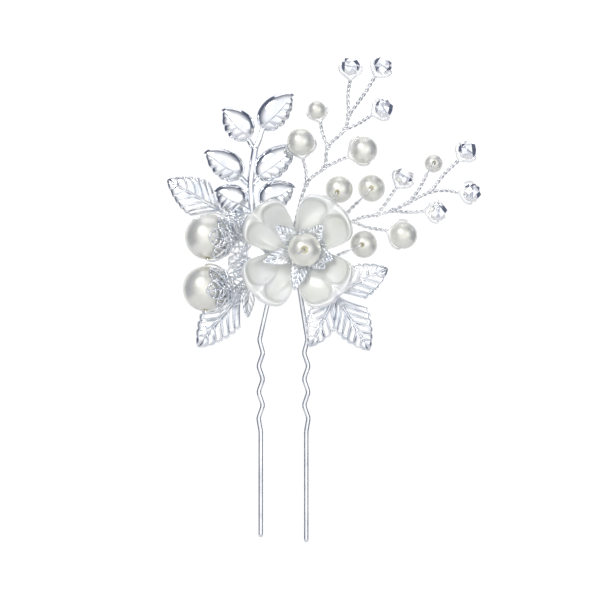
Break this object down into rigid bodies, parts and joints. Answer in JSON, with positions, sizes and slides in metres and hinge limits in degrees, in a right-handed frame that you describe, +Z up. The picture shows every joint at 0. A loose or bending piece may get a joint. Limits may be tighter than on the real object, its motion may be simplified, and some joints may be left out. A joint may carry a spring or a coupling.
{
  "type": "flower hair pin",
  "caption": "U-shaped hair pin with crimped prongs, a cupped four-petal flower, silver leaves, a budded branch, pearls and wired sprays of beads and crystals.",
  "frame": {"origin": "midway between the two prongs, level with the shoulder where the crimps begin", "axes": "+Z up along the pin, away from the tips, +X to the right seen from the front, the ornament faces -Y"},
  "size_m": [0.0689, 0.0148, 0.1067],
  "materials": {
    "pin_wire": "bright silver plate",
    "beading_wire": "silver-plated twisted wire",
    "silver_sheet": "stamped silver plate",
    "cast_silver": "polished cast silver plate",
    "petal": "pearlescent resin",
    "pearl": "pearl coating",
    "crystal": "faceted clear"
  },
  "bodies": {
    "base": {"pin_crown": "pin_wire", "binding_left": "beading_wire", "binding_right": "beading_wire", "binding_crown": "beading_wire", "flower_petals": "petal", "stamen_leaf_cap": "silver_sheet", "pearl_seat_ring": "silver_sheet", "centre_wire": "beading_wire", "leaf_upper_left": "silver_sheet", "leaf_lower_left": "silver_sheet", "leaf_narrow_left": "silver_sheet", "leaf_trio_right": "silver_sheet", "leaf_branch": "cast_silver", "bead_cap_upper": "silver_sheet", "bead_cap_lower": "silver_sheet", "large_pearl_wire_upper": "beading_wire", "large_pearl_wire_lower": "beading_wire", "filigree_left": "silver_sheet", "spray_upper_root": "beading_wire", "spray_right_root": "beading_wire", "stem_pearl_3": "beading_wire", "stem_pearl_4": "beading_wire", "stem_pearl_6": "beading_wire"},
    "leg_left": {"pin_leg_left": "pin_wire"},
    "leg_right": {"pin_leg_right": "pin_wire"},
    "spray_upper": {"spray_upper_wire": "beading_wire"},
    "spray_right": {"spray_right_wire": "beading_wire"},
    "spray_pearl_1": {"spray_pearl_1": "pearl"},
    "spray_pearl_2": {"spray_pearl_2": "pearl"},
    "spray_pearl_3": {"spray_pearl_3": "pearl"},
    "spray_pearl_4": {"spray_pearl_4": "pearl"},
    "spray_pearl_5": {"spray_pearl_5": "pearl"},
    "spray_pearl_6": {"spray_pearl_6": "pearl"},
    "small_pearl_1": {"small_pearl_1": "pearl"},
    "small_pearl_2": {"small_pearl_2": "pearl"},
    "crystal_1": {"crystal_1": "crystal"},
    "crystal_2": {"crystal_2": "crystal"},
    "crystal_3": {"crystal_3": "crystal"},
    "crystal_4": {"crystal_4": "crystal"},
    "crystal_5": {"crystal_5": "crystal"},
    "crystal_6": {"crystal_6": "crystal"},
    "crystal_7": {"crystal_7": "crystal"},
    "centre_pearl": {"centre_pearl": "pearl"},
    "large_pearl_upper": {"large_pearl_upper": "pearl"},
    "large_pearl_lower": {"large_pearl_lower": "pearl"}
  },
  "joints": [
    {"name": "flex_leg_left", "type": "hinge", "parent": "base", "child": "leg_left", "pos_m": [-0.00303, 0, 0.01], "axis": [0, 1, 0], "range_deg": [-3.5, 6], "stiffness_Nm_per_rad": 0.25},
    {"name": "flex_leg_right", "type": "hinge", "parent": "base", "child": "leg_right", "pos_m": [0.0037, 0, 0.01], "axis": [0, 1, 0], "range_deg": [-6, 3.5], "stiffness_Nm_per_rad": 0.25},
    {"name": "bend_spray_upper", "type": "hinge", "parent": "base", "child": "spray_upper", "pos_m": [0.0022, -0.0016, 0.0242], "axis": [0.982, 0, -0.1888], "range_deg": [-0.5, 12]},
    {"name": "bend_spray_right", "type": "hinge", "parent": "base", "child": "spray_right", "pos_m": [0.0064, -0.0016, 0.0196], "axis": [0.6, 0, -0.8], "range_deg": [-12, 10]},
    {"name": "spin_pearl_1", "type": "hinge", "parent": "spray_upper", "child": "spray_pearl_1", "pos_m": [0.0038, -0.0052, 0.0433], "axis": [-0.9916, 0, -0.1293], "continuous": true},
    {"name": "spin_pearl_2", "type": "hinge", "parent": "spray_upper", "child": "spray_pearl_2", "pos_m": [0.0176, -0.0046, 0.0416], "axis": [-0.4003, 0, 0.9164], "continuous": true},
    {"name": "spin_pearl_3", "type": "hinge", "parent": "base", "child": "spray_pearl_3", "pos_m": [0.0122, -0.0046, 0.033], "axis": [0.1618, 0.9518, 0.2606], "continuous": true},
    {"name": "spin_pearl_4", "type": "hinge", "parent": "base", "child": "spray_pearl_4", "pos_m": [0.0193, -0.003, 0.0333], "axis": [0.0338, 0.9988, 0.035], "continuous": true},
    {"name": "spin_pearl_5", "type": "hinge", "parent": "spray_right", "child": "spray_pearl_5", "pos_m": [0.0263, -0.0034, 0.023], "axis": [0.2587, 0, 0.9659], "continuous": true},
    {"name": "spin_pearl_6", "type": "hinge", "parent": "base", "child": "spray_pearl_6", "pos_m": [0.0176, -0.0036, 0.021], "axis": [0.1695, 0.9832, 0.0678], "continuous": true},
    {"name": "spin_small_pearl_1", "type": "hinge", "parent": "spray_upper", "child": "small_pearl_1", "pos_m": [0.0073, -0.0036, 0.0504], "axis": [-0.9597, 0, -0.2809], "continuous": true},
    {"name": "spin_small_pearl_2", "type": "hinge", "parent": "spray_right", "child": "small_pearl_2", "pos_m": [0.0329, -0.003, 0.0387], "axis": [-0.0266, 0.9988, -0.0415], "continuous": true},
    {"name": "spin_crystal_1", "type": "hinge", "parent": "spray_upper", "child": "crystal_1", "pos_m": [0.0147, -0.0046, 0.0599], "axis": [-0.9993, 0, 0.0377], "continuous": true},
    {"name": "spin_crystal_2", "type": "hinge", "parent": "spray_upper", "child": "crystal_2", "pos_m": [0.0217, -0.0032, 0.0601], "axis": [-0.8249, 0, 0.5652], "continuous": true},
    {"name": "spin_crystal_3", "type": "hinge", "parent": "spray_upper", "child": "crystal_3", "pos_m": [0.022, -0.003, 0.0507], "axis": [-0.4717, 0, 0.8818], "continuous": true},
    {"name": "spin_crystal_4", "type": "hinge", "parent": "spray_right", "child": "crystal_4", "pos_m": [0.0264, -0.005, 0.0358], "axis": [-0.818, 0, 0.5752], "continuous": true},
    {"name": "spin_crystal_5", "type": "hinge", "parent": "spray_right", "child": "crystal_5", "pos_m": [0.0403, -0.0034, 0.0416], "axis": [-0.7474, 0, 0.6644], "continuous": true},
    {"name": "spin_crystal_6", "type": "hinge", "parent": "spray_right", "child": "crystal_6", "pos_m": [0.0413, -0.0024, 0.0323], "axis": [0.0333, 0, 0.9994], "continuous": true},
    {"name": "spin_crystal_7", "type": "hinge", "parent": "spray_right", "child": "crystal_7", "pos_m": [0.0338, -0.0048, 0.0281], "axis": [0.0303, 0, 0.9995], "continuous": true},
    {"name": "spin_centre_pearl", "type": "hinge", "parent": "base", "child": "centre_pearl", "pos_m": [0.0046, -0.0083, 0.0197], "axis": [0, 1, 0], "continuous": true},
    {"name": "spin_large_pearl_upper", "type": "hinge", "parent": "base", "child": "large_pearl_upper", "pos_m": [-0.0165, -0.005, 0.0226], "axis": [0, 0.3401, 0.9404], "continuous": true},
    {"name": "spin_large_pearl_lower", "type": "hinge", "parent": "base", "child": "large_pearl_lower", "pos_m": [-0.017, -0.005, 0.0113], "axis": [0, 0.3401, 0.9404], "continuous": true}
  ]
}
